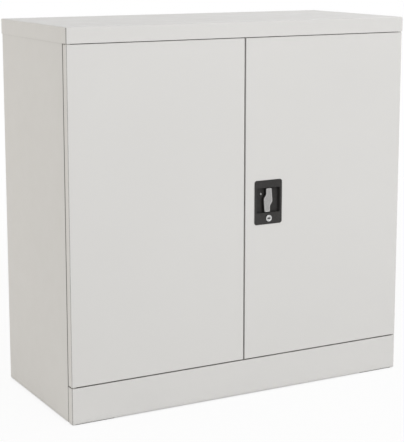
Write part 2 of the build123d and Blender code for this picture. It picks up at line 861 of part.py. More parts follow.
# Lever: two offset lobes that widen towards a slanted waist, on a round boss
lever_face_y = bezel_face_y + lever_recess
lever_back_y = lever_face_y + lever_thickness
boss_back_y = pocket_floor_y - seat_gap
half_length = lever_length / 2
half_lobe = lobe_width / 2
lever_plane = Plane(origin=(handle_x, lever_back_y, lever_z), x_dir=(1, 0, 0), z_dir=(0, -1, 0))
with BuildPart() as lever:
    with BuildSketch(lever_plane) as lever_outline:
        with BuildLine():
            Polyline(
                (-lobe_shift + half_lobe, -half_length),
                (-lobe_shift + half_lobe, -lever_waist_high),
                (lobe_shift + half_lobe + lobe_flare, -lever_waist_low),
                (lobe_shift + half_lobe, half_length),
                (lobe_shift - half_lobe, half_length),
                (lobe_shift - half_lobe, lever_waist_high),
                (-lobe_shift - half_lobe - lobe_flare, lever_waist_low),
                (-lobe_shift - half_lobe, -half_length),
                close=True,
            )
        make_face()
        fillet(lever_outline.vertices(), radius=lever_corner)
    extrude(amount=lever_thickness)
    fillet(lever.faces().sort_by(Axis.Y)[0].edges(), radius=lever_edge)
    with BuildSketch(facing(lever_back_y)):
        with Locations((handle_x, lever_z)):
            Circle(boss_radius)
    extrude(amount=-(boss_back_y - lever_back_y))
finish(lever, "lever")


# Crank: spindle, flatted disc and two pins that drive the bolts
with BuildPart() as lever_crank:
    with BuildSketch(facing(crank_back_y)):
        with Locations((handle_x, lever_z)):
            Circle(crank_radius)
        with Locations((handle_x, lever_z - crank_flat)):
            Rectangle(2 * crank_radius, crank_radius, align=(Align.CENTER, Align.MAX), mode=Mode.SUBTRACT)
        with Locations((handle_x - crank_flat, lever_z)):
            Rectangle(crank_radius, 2 * crank_radius, align=(Align.MAX, Align.CENTER), mode=Mode.SUBTRACT)
    extrude(amount=crank_sheet)
    with BuildSketch(facing(crank_front_y)):
        with Locations((handle_x, lever_z)):
            Circle(spindle_radius)
    extrude(amount=crank_front_y - boss_back_y)
    with BuildSketch(facing(crank_back_y)):
        with Locations((handle_x + pin_near_x, lever_z - pin_level)):
            Circle(crank_pin_radius)
        with Locations((handle_x - pin_near_x, lever_z + pin_level)):
            Circle(crank_pin_radius)
    extrude(amount=-(bolt_back_y - crank_back_y))
finish(lever_crank, "lever_crank")


# Locking bolts: flat rods with a slotted head on the crank's pins
def locking_bolt(side, tip_z):
    # side is +1 for the bolt that rises and -1 for the one that drops
    head_z = lever_z - side * pin_level
    rod_x = handle_x + side * bolt_offset
    slot_length = pin_far_x - pin_near_x + 2 * crank_pin_radius + 2 * bolt_slot_clearance
    slot_opening = 2 * crank_pin_radius + 2 * bolt_slot_clearance
    with BuildPart() as bolt:
        with BuildSketch(facing(bolt_back_y)):
            with Locations((rod_x, (head_z + tip_z) / 2)):
                Rectangle(bolt_width, abs(tip_z - head_z))
            with Locations((rod_x, head_z)):
                RectangleRounded(bolt_head_width, bolt_head_height, guide_round)
                Rectangle(slot_length, slot_opening, mode=Mode.SUBTRACT)
        extrude(amount=bolt_sheet)
        tip = bolt.faces().filter_by(Axis.Z).sort_by(Axis.Z)[-1 if side > 0 else 0]
        chamfer(tip.edges().filter_by(Axis.Y), length=bolt_tip_chamfer)
    return bolt


upper_tip = door_top - bolt_tip_gap
lower_tip = door_bottom + bolt_tip_gap
upper_bolt = locking_bolt(1, upper_tip)
lower_bolt = locking_bolt(-1, lower_tip)
finish(upper_bolt, "upper_bolt")
finish(lower_bolt, "lower_bolt")


# Bolt guides: nylon blocks on the door's face, two to each bolt
with BuildPart() as bolt_guides:
    for guide_x, guide_levels in (
        (upper_bolt_x, (lever_z + guide_from_handle, door_top - guide_from_end)),
        (lower_bolt_x, (lever_z - guide_from_handle, door_bottom + guide_from_end)),
    ):
        for guide_z in guide_levels:
            with BuildSketch(Plane.XY.offset(guide_z - guide_height / 2)):
                with Locations((guide_x, skin_inner_y)):
                    Rectangle(
                        guide_width, bolt_back_y + plate - skin_inner_y, align=(Align.CENTER, Align.MIN)
                    )
                with Locations((guide_x, bolt_middle_y)):
                    Rectangle(
                        bolt_width + 2 * guide_clearance,
                        bolt_sheet + 2 * guide_clearance,
                        mode=Mode.SUBTRACT,
                    )
            extrude(amount=guide_height)
finish(bolt_guides, "bolt_guides")


# Lock barrel: a collared sleeve through the plate's boss
with BuildPart() as lock_barrel:
    with BuildSketch(facing(bezel_face_y)):
        with Locations((lock_x, lock_z)):
            Circle(lock_collar_radius)
    extrude(amount=cap_overhang - bezel_proud)
    chamfer(lock_barrel.faces().sort_by(Axis.Y)[0].edges(), length=(cap_overhang - bezel_proud) / 2)
    with BuildSketch(facing(bezel_face_y)):
        with Locations((lock_x, lock_z)):
            Circle(lock_body_radius)
    extrude(amount=-(lock_back_y - bezel_face_y))
    with BuildSketch(facing(lock_back_y)):
        with Locations((lock_x, lock_z)):
            Circle(lock_bore_radius)
    extrude(amount=cabinet_depth / 2 + lock_back_y, mode=Mode.SUBTRACT)
finish(lock_barrel, "lock_barrel")


# Key plug with its keyway, and the cam tongue on its tail
plug_face_y = -cabinet_depth / 2 + plug_recess
plug_radius = lock_bore_radius - running_gap
with BuildPart() as key_plug:
    with BuildSketch(facing(crank_front_y)):
        with Locations((lock_x, lock_z)):
            Circle(plug_radius)
    extrude(amount=crank_front_y - plug_face_y)
    with BuildSketch(facing(crank_front_y)):
        with Locations((lock_x, lock_z)):
            Circle(plug_tail_radius)
    extrude(amount=-crank_sheet)
    with BuildSketch(facing(plug_face_y)):
        with Locations((lock_x, lock_z)):
            SlotOverall(keyway_length, keyway_width)
    extrude(amount=-keyway_depth, mode=Mode.SUBTRACT)
finish(key_plug, "key_plug")

cam_reach = lever_z - crank_flat - cam_gap - lock_z
with BuildPart() as lock_cam:
    with BuildSketch(facing(crank_back_y)):
        with Locations((lock_x, lock_z)):
            Circle(plug_radius + cam_gap)
            Rectangle(cam_reach, cam_width, align=(Align.MIN, Align.CENTER))
            Circle(plug_tail_radius, mode=Mode.SUBTRACT)
    extrude(amount=crank_sheet)
finish(lock_cam, "lock_cam")
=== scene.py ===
import bpy
from math import cos, radians, sin
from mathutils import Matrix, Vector


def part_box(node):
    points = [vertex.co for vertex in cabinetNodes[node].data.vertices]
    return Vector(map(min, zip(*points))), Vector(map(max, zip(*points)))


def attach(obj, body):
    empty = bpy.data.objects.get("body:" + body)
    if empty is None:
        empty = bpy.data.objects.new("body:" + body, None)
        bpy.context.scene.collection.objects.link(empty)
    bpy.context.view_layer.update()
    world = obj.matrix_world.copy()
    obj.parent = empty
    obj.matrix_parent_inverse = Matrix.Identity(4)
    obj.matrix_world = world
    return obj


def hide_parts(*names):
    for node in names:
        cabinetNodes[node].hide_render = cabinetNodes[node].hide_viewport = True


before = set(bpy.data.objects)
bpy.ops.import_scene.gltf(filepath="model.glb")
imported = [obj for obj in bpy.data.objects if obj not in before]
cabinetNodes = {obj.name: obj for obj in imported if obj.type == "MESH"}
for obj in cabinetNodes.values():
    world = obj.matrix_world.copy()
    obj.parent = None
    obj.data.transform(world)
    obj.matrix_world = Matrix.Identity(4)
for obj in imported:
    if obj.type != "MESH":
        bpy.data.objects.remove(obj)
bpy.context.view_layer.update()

print("cabinet loaded:", len(cabinetNodes), "nodes")


# camera, seen from the left front a little above the lid
cameraSpot = {
    "place": (-1.5709, -2.8715, 1.0739),
    "yaw": 28.579,
    "pitch": 9.564,
    "lens": 108.65,
    "shiftUp": -0.115,
}


def placeCamera(spot):
    bpy.ops.object.camera_add(
        location=spot["place"],
        rotation=(radians(90 - spot["pitch"]), 0, radians(-spot["yaw"])),
    )
    camera = bpy.context.object
    camera.name = "photoCamera"
    camera.data.lens = spot["lens"]
    camera.data.shift_y = spot["shiftUp"]
    bpy.context.scene.camera = camera


placeCamera(cameraSpot)
bpy.context.scene.view_settings.view_transform = "Standard"
print("camera placed")


# small helpers for the node trees
def addNode(tree, kind, place=(0, 0), **settings):
    node = tree.nodes.new(kind)
    node.location = place
    for setting, value in settings.items():
        setattr(node, setting, value)
    return node


def setInputs(node, values):
    for label, value in values.items():
        node.inputs[label].default_value = value


# each run names the giving node and its output, then the taking node and its input
def wire(tree, *runs):
    for giver, output, taker, into in runs:
        tree.links.new(giver.outputs[output], taker.inputs[into])


def startGroup(name, inputs, outputs):
    group = bpy.data.node_groups.new(name, "ShaderNodeTree")
    for label, kind, value in inputs:
        socket = group.interface.new_socket(name=label, in_out="INPUT", socket_type=kind)
        if value is not None:
            socket.default_value = value
    for label in outputs:
        group.interface.new_socket(name=label, in_out="OUTPUT", socket_type="NodeSocketFloat")
    source = addNode(group, "NodeGroupInput", (-900, 0))
    drain = addNode(group, "NodeGroupOutput", (900, 0))
    return group, source, drain


def useGroup(tree, group, place, vector, **values):
    node = addNode(tree, "ShaderNodeGroup", place)
    node.node_tree = group
    setInputs(node, values)
    tree.links.new(vector, node.inputs["Vector"])
    return node


def rangeOf(tree, place, value, low, high, fromLow=0.0, fromHigh=1.0):
    node = addNode(tree, "ShaderNodeMapRange", place)
    setInputs(node, {"From Min": fromLow, "From Max": fromHigh, "To Min": low, "To Max": high})
    tree.links.new(value, node.inputs["Value"])
    return node.outputs["Result"]


# one for what the camera sees, straight on, mirrored or through a clear piece
def seenShare(tree, place):
    lightPath = addNode(tree, "ShaderNodeLightPath", place)
    seen = addNode(tree, "ShaderNodeMath", (place[0] + 300, place[1]), operation="MAXIMUM")
    seenThrough = addNode(tree, "ShaderNodeMath", (place[0] + 500, place[1]), operation="MAXIMUM")
    wire(
        tree,
        (lightPath, "Is Camera Ray", seen, 0),
        (lightPath, "Is Glossy Ray", seen, 1),
        (seen, "Value", seenThrough, 0),
        (lightPath, "Is Transmission Ray", seenThrough, 1),
    )
    return seenThrough


# orange peel, moulded texture or cast skin: a round fine relief
def makeSkinRelief():
    group, source, drain = startGroup(
        "skinRelief",
        [("Vector", "NodeSocketVector", None), ("Cells", "NodeSocketFloat", 700.0)],
        ["Height", "Pits"],
    )
    softNoise = addNode(group, "ShaderNodeTexNoise", (-500, 150))
    setInputs(softNoise, {"Detail": 2.0, "Roughness": 0.45})
    cells = addNode(group, "ShaderNodeTexVoronoi", (-500, -150), feature="SMOOTH_F1")
    cells.inputs["Smoothness"].default_value = 1.0
    blend = addNode(group, "ShaderNodeMath", (-150, 0), operation="MULTIPLY_ADD")
    blend.inputs[1].default_value = 0.6
    pits = addNode(group, "ShaderNodeMapRange", (200, -150))
    setInputs(pits, {"From Min": 0.55, "From Max": 0.8})
    wire(
        group,
        (source, "Vector", softNoise, "Vector"),
        (source, "Cells", softNoise, "Scale"),
        (source, "Vector", cells, "Vector"),
        (source, "Cells", cells, "Scale"),
        (cells, "Distance", blend, 0),
        (softNoise, "Fac", blend, 2),
        (softNoise, "Fac", pits, "Value"),
        (blend, "Value", drain, "Height"),
        (pits, "Result", drain, "Pits"),
    )
    return group


# slow drift of tone over a sheet, as spray passes and handling leave it
def makeToneDrift():
    group, source, drain = startGroup(
        "toneDrift",
        [("Vector", "NodeSocketVector", None), ("Scale", "NodeSocketFloat", 4.0)],
        ["Broad", "Cloudy"],
    )
    broad = addNode(group, "ShaderNodeTexNoise", (-400, 150))
    broad.inputs["Detail"].default_value = 1.0
    finer = addNode(group, "ShaderNodeMath", (-650, -150), operation="MULTIPLY")
    finer.inputs[1].default_value = 9.0
    cloudy = addNode(group, "ShaderNodeTexNoise", (-400, -150))
    setInputs(cloudy, {"Detail": 5.0, "Roughness": 0.6})
    stretch = addNode(group, "ShaderNodeMapRange", (0, -150))
    setInputs(stretch, {"From Min": 0.35, "From Max": 0.65})
    wire(
        group,
        (source, "Vector", broad, "Vector"),
        (source, "Scale", broad, "Scale"),
        (source, "Scale", finer, 0),
        (source, "Vector", cloudy, "Vector"),
        (finer, "Value", cloudy, "Scale"),
        (cloudy, "Fac", stretch, "Value"),
        (broad, "Fac", drain, "Broad"),
        (stretch, "Result", drain, "Cloudy"),
    )
    return group


# bright thin places on folds and rims, broken up by a noise; the plain edge mask also carries the lever's painted
# highlight
def makeEdgeWearAndHighlight():
    group, source, drain = startGroup(
        "edgeWearAndHighlight",
        [
            ("Vector", "NodeSocketVector", None),
            ("Radius", "NodeSocketFloat", 0.0015),
            ("Break", "NodeSocketFloat", 60.0),
        ],
        ["Edge", "Rubbed"],
    )
    rounded = addNode(group, "ShaderNodeBevel", (-600, 150), samples=4)
    flat = addNode(group, "ShaderNodeNewGeometry", (-600, -50))
    match = addNode(group, "ShaderNodeVectorMath", (-350, 100), operation="DOT_PRODUCT")
    edge = addNode(group, "ShaderNodeMapRange", (-100, 100))
    setInputs(edge, {"From Min": 0.995, "From Max": 0.86})
    breakUp = addNode(group, "ShaderNodeTexNoise", (-350, -200))
    breakUp.inputs["Detail"].default_value = 4.0
    wornAndHighlit = addNode(group, "ShaderNodeMapRange", (-100, -200))
    setInputs(wornAndHighlit, {"From Min": 0.48, "From Max": 0.66})
    both = addNode(group, "ShaderNodeMath", (200, 0), operation="MULTIPLY")
    wire(
        group,
        (source, "Radius", rounded, "Radius"),
        (rounded, "Normal", match, 0),
        (flat, "Normal", match, 1),
        (match, "Value", edge, "Value"),
        (source, "Vector", breakUp, "Vector"),
        (source, "Break", breakUp, "Scale"),
        (breakUp, "Fac", wornAndHighlit, "Value"),
        (edge, "Result", both, 0),
        (wornAndHighlit, "Result", both, 1),
        (edge, "Result", drain, "Edge"),
        (both, "Value", drain, "Rubbed"),
    )
    return group


# hairlines that run one way, stretched along the object's own axes
def makeHairlines():
    group, source, drain = startGroup(
        "hairlines",
        [
            ("Vector", "NodeSocketVector", None),
            ("Stretch", "NodeSocketVector", (1.0, 1.0, 0.03)),
            ("Scale", "NodeSocketFloat", 900.0),
        ],
        ["Lines", "Scores"],
    )
    pull = addNode(group, "ShaderNodeVectorMath", (-600, 0), operation="MULTIPLY")
    lines = addNode(group, "ShaderNodeTexNoise", (-350, 0))
    lines.inputs["Detail"].default_value = 3.0
    scores = addNode(group, "ShaderNodeMapRange", (0, -150))
    setInputs(scores, {"From Min": 0.62, "From Max": 0.72})
    wire(
        group,
        (source, "Vector", pull, 0),
        (source, "Stretch", pull, 1),
        (pull, "Vector", lines, "Vector"),
        (source, "Scale", lines, "Scale"),
        (lines, "Fac", scores, "Value"),
        (lines, "Fac", drain, "Lines"),
        (scores, "Result", drain, "Scores"),
    )
    return group


# a thin film of dust on whatever faces up
def makeSettledDust():
    group, source, drain = startGroup(
        "settledDust",
        [("Vector", "NodeSocketVector", None), ("Amount", "NodeSocketFloat", 0.3)],
        ["Dust"],
    )
    facing = addNode(group, "ShaderNodeNewGeometry", (-700, 150))
    split = addNode(group, "ShaderNodeSeparateXYZ", (-500, 150))
    upward = addNode(group, "ShaderNodeMapRange", (-250, 150))
    setInputs(upward, {"From Min": 0.6, "From Max": 0.98})
    specks = addNode(group, "ShaderNodeTexNoise", (-500, -100))
    setInputs(specks, {"Scale": 38.0, "Detail": 8.0, "Roughness": 0.7})
    patches = addNode(group, "ShaderNodeMapRange", (-250, -100))
    setInputs(patches, {"From Min": 0.42, "From Max": 0.7})
    product = addNode(group, "ShaderNodeMath", (0, 0), operation="MULTIPLY")
    amount = addNode(group, "ShaderNodeMath", (250, 0), operation="MULTIPLY")
    wire(
        group,
        (facing, "Normal", split, "Vector"),
        (split, "Z", upward, "Value"),
        (source, "Vector", specks, "Vector"),
        (specks, "Fac", patches, "Value"),
        (upward, "Result", product, 0),
        (patches, "Result", product, 1),
        (product, "Value", amount, 0),
        (source, "Amount", amount, 1),
        (amount, "Value", drain, "Dust"),
    )
    return group


# painted shade gathered in seams, from an occlusion mask broken up by a noise, and a painted shade line down folds
# that look left and forward
def makePaintedShade():
    group, source, drain = startGroup(
        "paintedShade",
        [("Vector", "NodeSocketVector", None), ("Reach", "NodeSocketFloat", 0.012)],
        ["Seam", "PaintedFoldMask"],
    )
    openness = addNode(group, "ShaderNodeAmbientOcclusion", (-600, 150), samples=6)
    seam = addNode(group, "ShaderNodeMapRange", (-300, 150))
    uneven = addNode(group, "ShaderNodeTexNoise", (-600, -50))
    setInputs(uneven, {"Scale": 26.0, "Detail": 3.0})
    patches = addNode(group, "ShaderNodeMapRange", (-300, -50))
    setInputs(patches, {"From Min": 0.3, "From Max": 0.6, "To Min": 0.7})
    both = addNode(group, "ShaderNodeMath", (0, 100), operation="MULTIPLY")
    facing = addNode(group, "ShaderNodeNewGeometry", (-900, -300))
    turned = addNode(group, "ShaderNodeVectorMath", (-600, -300), operation="DOT_PRODUCT")
    turned.inputs[1].default_value = (-0.7071, -0.7071, 0.0)
    # painted shade line: folds whose normal looks left and forward get the dark fold tone
    fold = addNode(group, "ShaderNodeMapRange", (-300, -300))
    setInputs(fold, {"From Min": 0.86, "From Max": 0.97})
    # faces that look sideways take the painted shade sooner and hold less of it
    split = addNode(group, "ShaderNodeSeparateXYZ", (-900, -500))
    sideways = addNode(group, "ShaderNodeMath", (-700, -500), operation="ABSOLUTE")
    held = addNode(group, "ShaderNodeMath", (250, 0), operation="MULTIPLY")
    group.links.new(facing.outputs["Normal"], split.inputs["Vector"])
    group.links.new(split.outputs["X"], sideways.inputs[0])
    changes = (
        (seam.inputs["From Min"], 0.80, 0.97),
        (seam.inputs["From Max"], 0.25, 0.60),
        (held.inputs[1], 1.0, 0.24),
    )
    for count, (taker, ahead, aside) in enumerate(changes):
        change = rangeOf(group, (-500, -500 - 250 * count), sideways.outputs["Value"], ahead, aside, 0.5, 0.9)
        group.links.new(change, taker)
    wire(
        group,
        (source, "Reach", openness, "Distance"),
        (openness, "AO", seam, "Value"),
        (source, "Vector", uneven, "Vector"),
        (uneven, "Fac", patches, "Value"),
        (seam, "Result", both, 0),
        (patches, "Result", both, 1),
        (facing, "Normal", turned, 0),
        (turned, "Value", fold, "Value"),
        (both, "Value", held, 0),
        (held, "Value", drain, "Seam"),
        (fold, "Result", drain, "PaintedFoldMask"),
    )
    return group


skinRelief = makeSkinRelief()
toneDrift = makeToneDrift()
edgeWearAndHighlight = makeEdgeWearAndHighlight()
hairlines = makeHairlines()
settledDust = makeSettledDust()
paintedShade = makePaintedShade()
print("shared effects built")


# starts a finish: its tree, its shader and the object coordinates
def startFinish(name):
    material = bpy.data.materials.new(name)
    material.use_nodes = True
    tree = material.node_tree
    shader = tree.nodes["Principled BSDF"]
    shader.location = (900, 0)
    tree.nodes["Material Output"].location = (1200, 0)
    coordinates = addNode(tree, "ShaderNodeTexCoord", (-1100, 0))
    return material, tree, shader, coordinates.outputs["Object"]


def mixTone(tree, place, mask, first, second):
    mix = addNode(tree, "ShaderNodeMix", place, data_type="RGBA")
    tree.links.new(mask, mix.inputs["Factor"])
    for socket, tone in ((mix.inputs["A"], first), (mix.inputs["B"], second)):
        if isinstance(tone, tuple):
            socket.default_value = tone + (1.0,)
        else:
            tree.links.new(tone, socket)
    return mix.outputs["Result"]


def addRelief(tree, shader, height, depth):
    bump = addNode(tree, "ShaderNodeBump", (650, -350))
    setInputs(bump, {"Distance": depth, "Strength": 1.0})
    tree.links.new(height, bump.inputs["Height"])
    tree.links.new(bump.outputs["Normal"], shader.inputs["Normal"])


# light grey powder coat of the carcass and the doors
powderCoat = {
    "colour": (0.712, 0.703, 0.688),
    "shade": (0.688, 0.679, 0.664),
    "rubbed": (0.78, 0.775, 0.76),
    "dust": (0.62, 0.60, 0.56),
    # painted shade: the seam tone darkens seams and gaps, the fold tone draws a dark line down folds that look left
    # and forward
    "seam": (0.36, 0.35, 0.33),
    "fold": (0.23, 0.226, 0.218),
    "roughLow": 0.36,
    "roughHigh": 0.48,
    "shine": 0.45,
    "peelCells": 620.0,
    "peelDepth": 0.00003,
}


def makePowderCoat(look):
    material, tree, shader, vector = startFinish("lightGreyPowderCoat")
    drift = useGroup(tree, toneDrift, (-800, 200), vector, Scale=3.0)
    peel = useGroup(tree, skinRelief, (-800, -300), vector, Cells=look["peelCells"])
    edgeMasks = useGroup(tree, edgeWearAndHighlight, (-800, -50), vector, Radius=0.0014, Break=45.0)
    dust = useGroup(tree, settledDust, (-800, 450), vector, Amount=0.12)
    shade = useGroup(tree, paintedShade, (-800, 650), vector, Reach=0.010)
    tone = mixTone(tree, (-400, 300), drift.outputs["Broad"], look["colour"], look["shade"])
    wornAndHighlit = mixTone(tree, (-150, 250), edgeMasks.outputs["Rubbed"], tone, look["rubbed"])
    dusty = mixTone(tree, (100, 300), dust.outputs["Dust"], wornAndHighlit, look["dust"])
    # painted shade in the seams, then the painted shade line on the folds
    withSeamShade = mixTone(tree, (350, 350), shade.outputs["Seam"], dusty, look["seam"])
    withFoldLine = mixTone(tree, (600, 350), shade.outputs["PaintedFoldMask"], withSeamShade, look["fold"])
    tree.links.new(withFoldLine, shader.inputs["Base Color"])
    rough = rangeOf(tree, (100, 0), drift.outputs["Cloudy"], look["roughLow"], look["roughHigh"])
    tree.links.new(rough, shader.inputs["Roughness"])
    shader.inputs["Specular IOR Level"].default_value = look["shine"]
    addRelief(tree, shader, peel.outputs["Height"], look["peelDepth"])
    return material


# bright zinc on the bolts, crank, pins, clips and screws
zincPlate = {
    "bright": (0.46, 0.46, 0.45),
    "dull": (0.33, 0.335, 0.34),
    "straw": (0.43, 0.405, 0.335),
    "strawShare": 0.35,
    "roughLow": 0.34,
    "roughHigh": 0.52,
    "lineDepth": 0.00002,
}


def makeZincPlate(look):
    material, tree, shader, vector = startFinish("brightZincPlate")
    drift = useGroup(tree, toneDrift, (-800, 200), vector, Scale=30.0)
    lines = useGroup(tree, hairlines, (-800, -50), vector, Scale=1400.0)
    edgeMasks = useGroup(tree, edgeWearAndHighlight, (-800, -300), vector, Radius=0.0005, Break=180.0)
    tone = mixTone(tree, (-400, 300), drift.outputs["Cloudy"], look["bright"], look["dull"])
    straw = rangeOf(tree, (-400, 0), drift.outputs["Broad"], 0.0, look["strawShare"], 0.45, 0.7)
    tinted = mixTone(tree, (-100, 250), straw, tone, look["straw"])
    tree.links.new(tinted, shader.inputs["Base Color"])
    shader.inputs["Metallic"].default_value = 1.0
    rough = rangeOf(tree, (0, 0), lines.outputs["Lines"], look["roughLow"], look["roughHigh"])
    tree.links.new(rough, shader.inputs["Roughness"])
    addRelief(tree, shader, lines.outputs["Lines"], look["lineDepth"])
    return material


# rubber and plastics: a grained skin, paler where rubbed, with dust on top and painted shade in the seams
mouldedSkin = {"darker": 0.74, "paintedSeamDark": 0.3, "dust": (0.30, 0.29, 0.27), "shine": 0.5, "shadeReach": 0.003}
mouldings = {
    "black_rubber": {
        "name": "mattBlackRubber",
        "colour": (0.030, 0.030, 0.031),
        "pale": (0.07, 0.07, 0.07),
        "cells": 1800.0,
        "depth": 0.00004,
        "roughLow": 0.62,
        "roughHigh": 0.82,
    },
    "black_nylon": {
        "name": "blackNylon",
        "colour": (0.026, 0.026, 0.027),
        "pale": (0.08, 0.08, 0.08),
        "cells": 2400.0,
        "depth": 0.00002,
        "roughLow": 0.36,
        "roughHigh": 0.52,
    },
    "white_nylon": {
        "name": "naturalNylon",
        "colour": (0.72, 0.71, 0.66),
        "pale": (0.80, 0.79, 0.75),
        "cells": 2400.0,
        "depth": 0.00002,
        "roughLow": 0.36,
        "roughHigh": 0.50,
    },
    "black_moulding": {
        "name": "grainedBlackMoulding",
        "colour": (0.0365, 0.035, 0.0338),
        "pale": (0.10, 0.10, 0.098),
        "cells": 1500.0,
        "depth": 0.00005,
        "roughLow": 0.40,
        "roughHigh": 0.58,
        "shine": 0.27,
        "shadeReach": 0.026,  # painted shade reaches over the finger pocket
    },
}


def makeMoulding(look):
    look = {**mouldedSkin, **look}
    material, tree, shader, vector = startFinish(look["name"])
    drift = useGroup(tree, toneDrift, (-800, 200), vector, Scale=25.0)
    skin = useGroup(tree, skinRelief, (-800, -300), vector, Cells=look["cells"])
    edgeMasks = useGroup(tree, edgeWearAndHighlight, (-800, -50), vector, Radius=0.0007, Break=220.0)
    dust = useGroup(tree, settledDust, (-800, 450), vector, Amount=0.25)
    shade = useGroup(tree, paintedShade, (-800, 650), vector, Reach=look["shadeReach"])
    darker = tuple(look["darker"] * share for share in look["colour"])
    paintedSeamDark = tuple(look["paintedSeamDark"] * share for share in look["colour"])
    tone = mixTone(tree, (-400, 300), drift.outputs["Cloudy"], look["colour"], darker)
    wornAndHighlit = mixTone(tree, (-150, 250), edgeMasks.outputs["Rubbed"], tone, look["pale"])
    dusty = mixTone(tree, (100, 300), dust.outputs["Dust"], wornAndHighlit, look["dust"])
    # painted shade in the seams and over the finger pocket
    withSeamShade = mixTone(tree, (350, 300), shade.outputs["Seam"], dusty, paintedSeamDark)
    tree.links.new(withSeamShade, shader.inputs["Base Color"])
    rough = rangeOf(tree, (100, 0), skin.outputs["Pits"], look["roughHigh"], look["roughLow"])
    tree.links.new(rough, shader.inputs["Roughness"])
    shader.inputs["Specular IOR Level"].default_value = look["shine"]
    addRelief(tree, shader, skin.outputs["Height"], look["depth"])
    return material


# satin silver on the lever, with a painted highlight along its edges
satinSilver = {
    "bright": (0.40, 0.396, 0.392),
    "dull": (0.335, 0.33, 0.327),
    # tone of the painted highlight along the edges
    "edge": (0.80, 0.80, 0.79),
    "metal": 0.85,
    "roughLow": 0.38,
    "roughHigh": 0.5,
    "grain": 0.000012,
}


def makeSatinSilver(look):
    material, tree, shader, vector = startFinish("satinSilverCasting")
    drift = useGroup(tree, toneDrift, (-800, 200), vector, Scale=40.0)
    skin = useGroup(tree, skinRelief, (-800, -300), vector, Cells=2600.0)
    edgeMasks = useGroup(tree, edgeWearAndHighlight, (-800, -50), vector, Radius=0.0009, Break=240.0)
    tone = mixTone(tree, (-400, 300), drift.outputs["Cloudy"], look["bright"], look["dull"])
    # painted highlight: every edge is lifted to the bright edge tone
    wornAndHighlit = mixTone(tree, (-150, 250), edgeMasks.outputs["Edge"], tone, look["edge"])
    tree.links.new(wornAndHighlit, shader.inputs["Base Color"])
    shader.inputs["Metallic"].default_value = look["metal"]
    rough = rangeOf(tree, (100, 0), skin.outputs["Pits"], look["roughLow"], look["roughHigh"])
    tree.links.new(rough, shader.inputs["Roughness"])
    addRelief(tree, shader, skin.outputs["Height"], look["grain"])
    return material


# chrome on the lock's collar and plug, with fine scores
brightChrome = {
    "bright": (0.60, 0.60, 0.595),
    "dull": (0.51, 0.51, 0.51),
    "roughLow": 0.10,
    "roughHigh": 0.24,
    "lineDepth": 0.000004,
}


def makeChrome(look):
    material, tree, shader, vector = startFinish("brightChrome")
    drift = useGroup(tree, toneDrift, (-800, 200), vector, Scale=60.0)
    lines = useGroup(tree, hairlines, (-800, -50), vector, Scale=2600.0)
    tone = mixTone(tree, (-400, 300), drift.outputs["Cloudy"], look["bright"], look["dull"])
    tree.links.new(tone, shader.inputs["Base Color"])
    shader.inputs["Metallic"].default_value = 1.0
    rough = rangeOf(tree, (100, 0), lines.outputs["Scores"], look["roughLow"], look["roughHigh"])
    tree.links.new(rough, shader.inputs["Roughness"])
    addRelief(tree, shader, lines.outputs["Lines"], look["lineDepth"])
    return material


finishes = {"painted_sheet": makePowderCoat(powderCoat), "plated_steel": makeZincPlate(zincPlate)}
for name, look in mouldings.items():
    finishes[name] = makeMoulding(look)
finishes["satin_silver"] = makeSatinSilver(satinSilver)
finishes["bright_chrome"] = makeChrome(brightChrome)
for name, node in cabinetNodes.items():
    for slot in node.material_slots:
        wanted = slot.material.name.split(".")[0] if slot.material else ""
        if wanted not in finishes:
            print("no finish for", name, wanted)
        slot.material = finishes.get(wanted, finishes["painted_sheet"])
print("finishes given to the frame's nodes")


# modelling helpers: pieces are shaped in edit mode and keep their place in the mesh
def objectMode():
    if bpy.context.mode != "OBJECT":
        bpy.ops.object.mode_set(mode="OBJECT")


def pickOnly(piece):
    objectMode()
    bpy.ops.object.select_all(action="DESELECT")
    piece.select_set(True)
    bpy.context.view_layer.objects.active = piece


def startPiece(name):
    piece = bpy.context.object
    piece.name = name
    pickOnly(piece)
    bpy.ops.object.transform_apply(location=True, rotation=True, scale=True)
    return piece


def pickParts(piece, kind, test):
    pickOnly(piece)
    bpy.ops.object.mode_set(mode="EDIT")
    bpy.ops.mesh.select_mode(type=kind)
    bpy.ops.mesh.select_all(action="DESELECT")
    bpy.ops.object.mode_set(mode="OBJECT")
    for part in piece.data.polygons if kind == "FACE" else piece.data.vertices:
        part.select = test(part)
    bpy.ops.object.mode_set(mode="EDIT")


def pickAll():
    bpy.ops.object.mode_set(mode="EDIT")
    bpy.ops.mesh.select_all(action="SELECT")


def frontFace(piece):
    # the face that looks at the viewer and stands furthest forward
    ahead = [face for face in piece.data.polygons if face.normal.y < -0.9]
    nearest = min(face.center.y for face in ahead)
    chosen = max((face for face in ahead if face.center.y < nearest + 1e-6), key=lambda face: face.area).index
    pickParts(piece, "FACE", lambda face: face.index == chosen)


def pushFace(depth):
    bpy.ops.mesh.extrude_region_move(TRANSFORM_OT_translate={"value": (0, depth, 0)})


def outwardFaces(piece):
    pickOnly(piece)
    pickAll()
    bpy.ops.mesh.remove_doubles(threshold=0.000002)
    bpy.ops.mesh.normals_make_consistent(inside=False)
    bpy.ops.object.mode_set(mode="OBJECT")


def uprightSheet(name, size, backY, centre):
    objectMode()
    bpy.ops.mesh.primitive_plane_add(size=1, location=(centre[0], backY, centre[1]), rotation=(radians(90), 0, 0))
    bpy.context.object.scale = (size[0], size[1], 1)
    return startPiece(name)


def roundedSlab(name, size, corner, segments, backY, frontY, centre):
    slab = uprightSheet(name, size, backY, centre)
    pickAll()
    bpy.ops.mesh.bevel(offset=corner, segments=segments, affect="VERTICES")
    pushFace(frontY - backY)
    outwardFaces(slab)
    return slab


